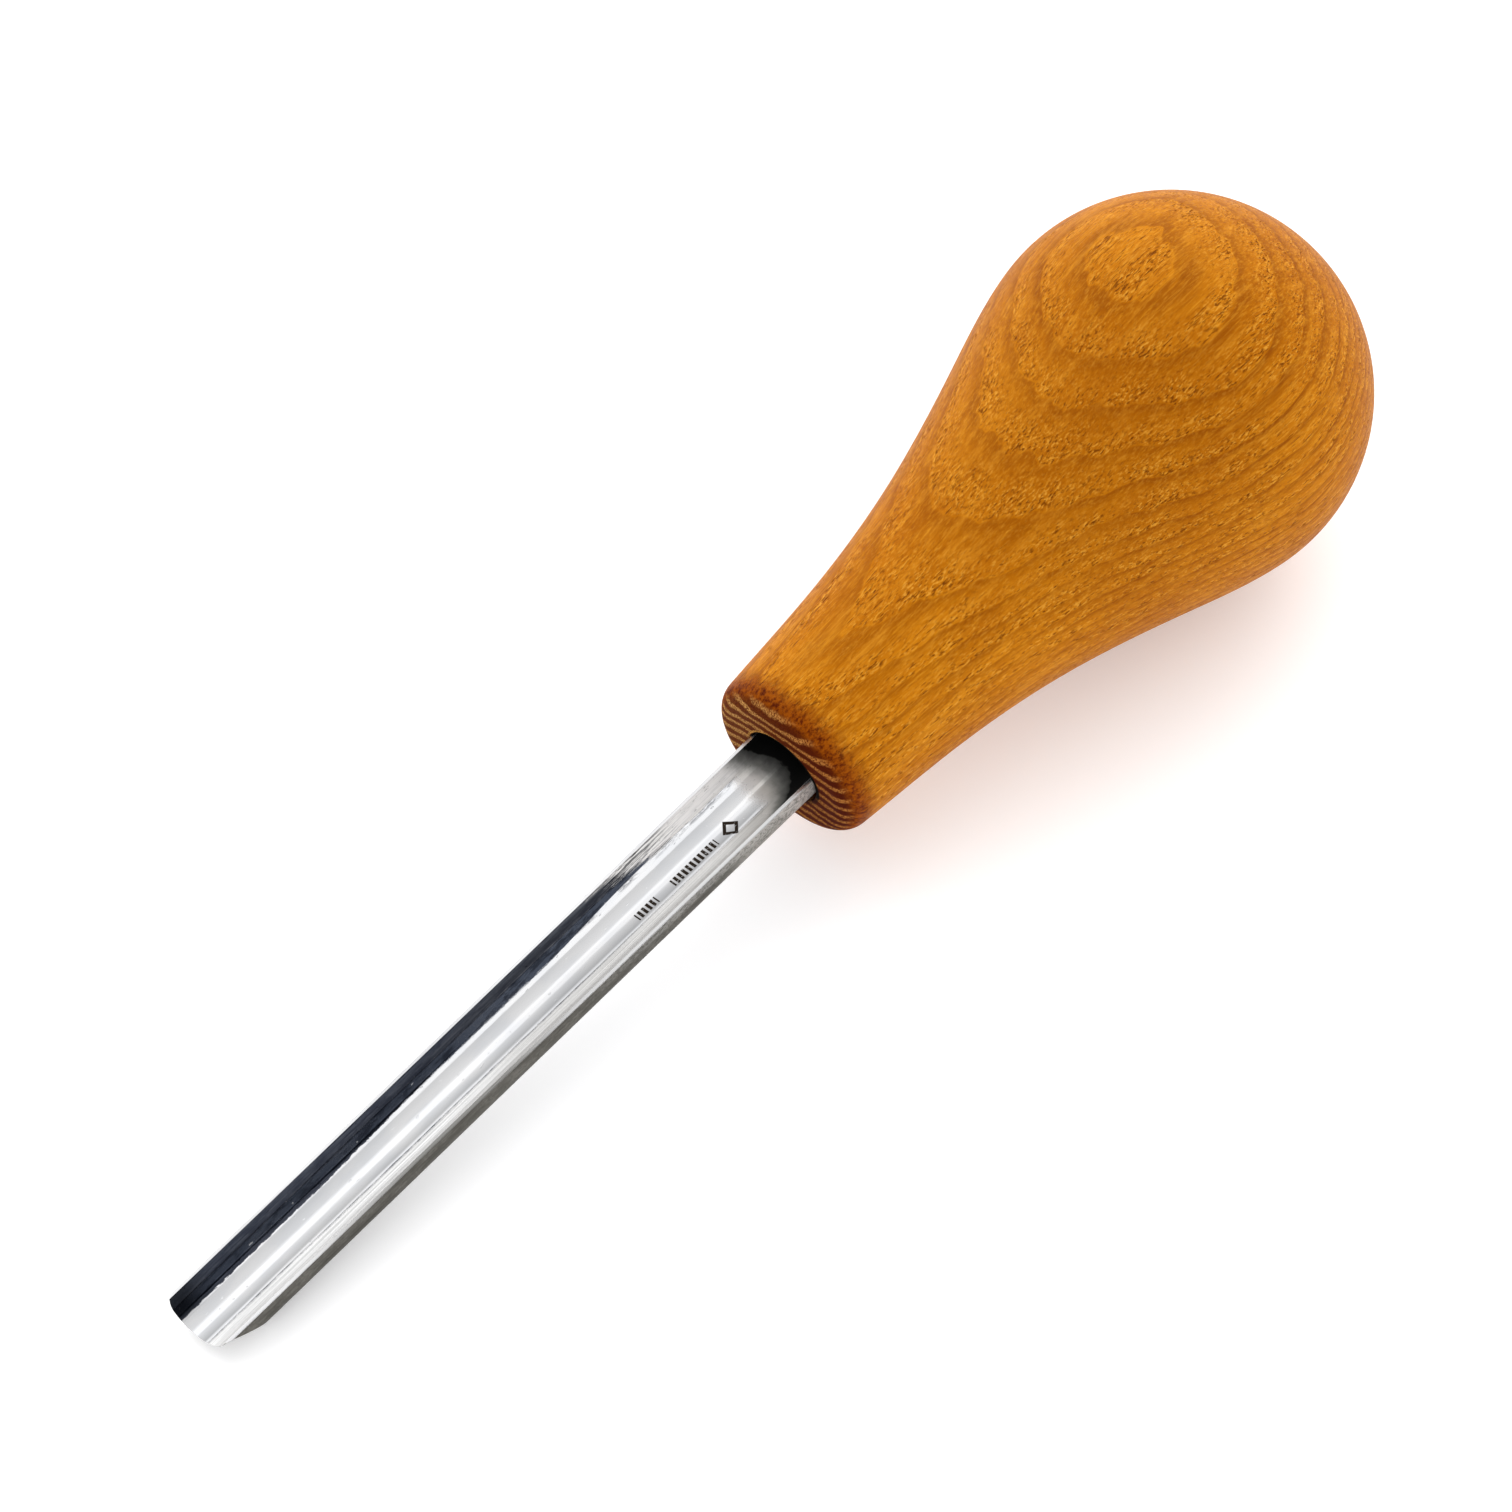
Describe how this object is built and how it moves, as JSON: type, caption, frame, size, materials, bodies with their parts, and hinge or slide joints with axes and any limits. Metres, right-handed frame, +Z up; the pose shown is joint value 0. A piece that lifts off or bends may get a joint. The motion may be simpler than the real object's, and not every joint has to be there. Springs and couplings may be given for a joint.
{
  "type": "lino cutter",
  "caption": "Palm gouge for carving lino and wood: a U-section steel blade with an outside bevel, fixed in a turned, oiled, pear-shaped hardwood handle.",
  "frame": {"origin": "on the surface that the tool rests on, under the middle of its bounding box", "axes": "+Z up from the surface; the tool lies in the XZ plane with its cutting edge toward -X, its bulb toward +X and its channel facing up, tilted 7.3 degrees so that the bevel's heel and the bulb both touch Z = 0"},
  "size_m": [0.1722, 0.0436, 0.0437],
  "materials": {
    "oiled_ash": "oiled, satin",
    "polished_steel": "polished channel, brushed outside",
    "cured_adhesive": "matte"
  },
  "bodies": {
    "root": {"handle": "oiled_ash", "blade": "polished_steel", "socket_adhesive": "cured_adhesive"}
  },
  "joints": []
}
